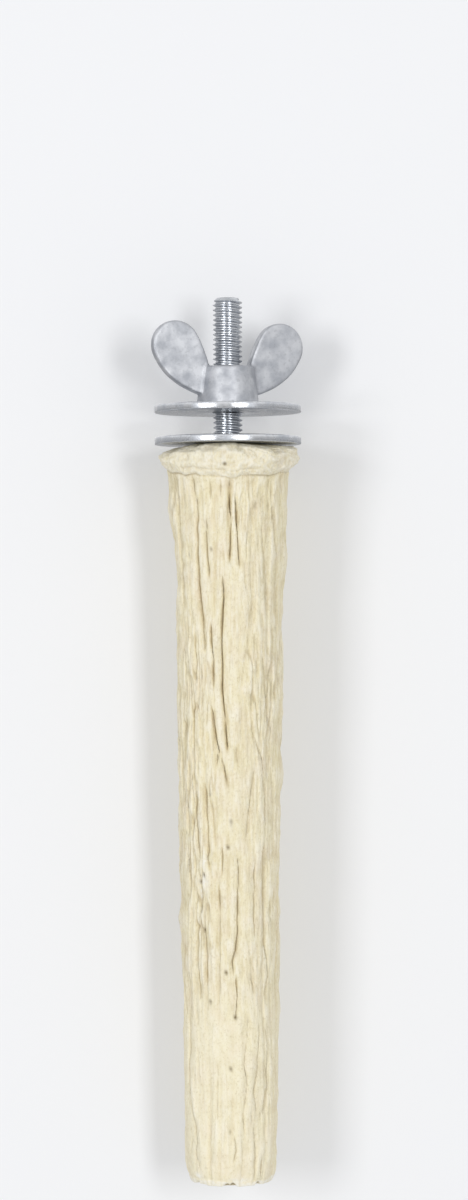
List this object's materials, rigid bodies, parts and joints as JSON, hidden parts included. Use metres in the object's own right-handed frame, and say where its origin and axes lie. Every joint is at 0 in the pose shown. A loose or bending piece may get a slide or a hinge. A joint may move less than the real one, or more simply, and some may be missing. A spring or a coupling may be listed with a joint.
{
  "type": "bird perch",
  "caption": "Tapered rod perch of cast cement with a bark surface, hung on a cast-in bolt that two wide washers and a wing nut clamp to cage wires.",
  "frame": {"origin": "on the bolt's axis, in the upper face of the inner washer, where the cage wires are clamped", "axes": "+Z along the bolt from the rod's tip towards the stud's free end; the rod's front faces -Y"},
  "size_m": [0.0314, 0.03, 0.18],
  "materials": {
    "cement": "unpainted cast cement, matt and slightly dusty",
    "zinc_bolt": "bright zinc plate on a rolled thread",
    "zinc_washer": "bright zinc plate on stamped sheet",
    "zinc_nut": "zinc plate on a forged nut, satin"
  },
  "bodies": {
    "perch": {"cement_perch": "cement", "anchor_bolt": "zinc_bolt", "inner_washer": "zinc_washer"},
    "outer_washer": {"outer_washer": "zinc_washer"},
    "wing_nut": {"wing_nut": "zinc_nut"}
  },
  "joints": [
    {"name": "washer_slide", "type": "slide", "parent": "perch", "child": "outer_washer", "axis": [0, 0, 1], "range_m": [-0.005, 0.013]},
    {"name": "nut_turn", "type": "hinge", "parent": "outer_washer", "child": "wing_nut", "pos_m": [0, 0, 0.0065], "axis": [0, 0, 1], "range_deg": [-1800, 4680]}
  ],
  "couplings": [
    {"joint": "washer_slide", "follows": "nut_turn", "m_per_rad": 0.00015915}
  ]
}
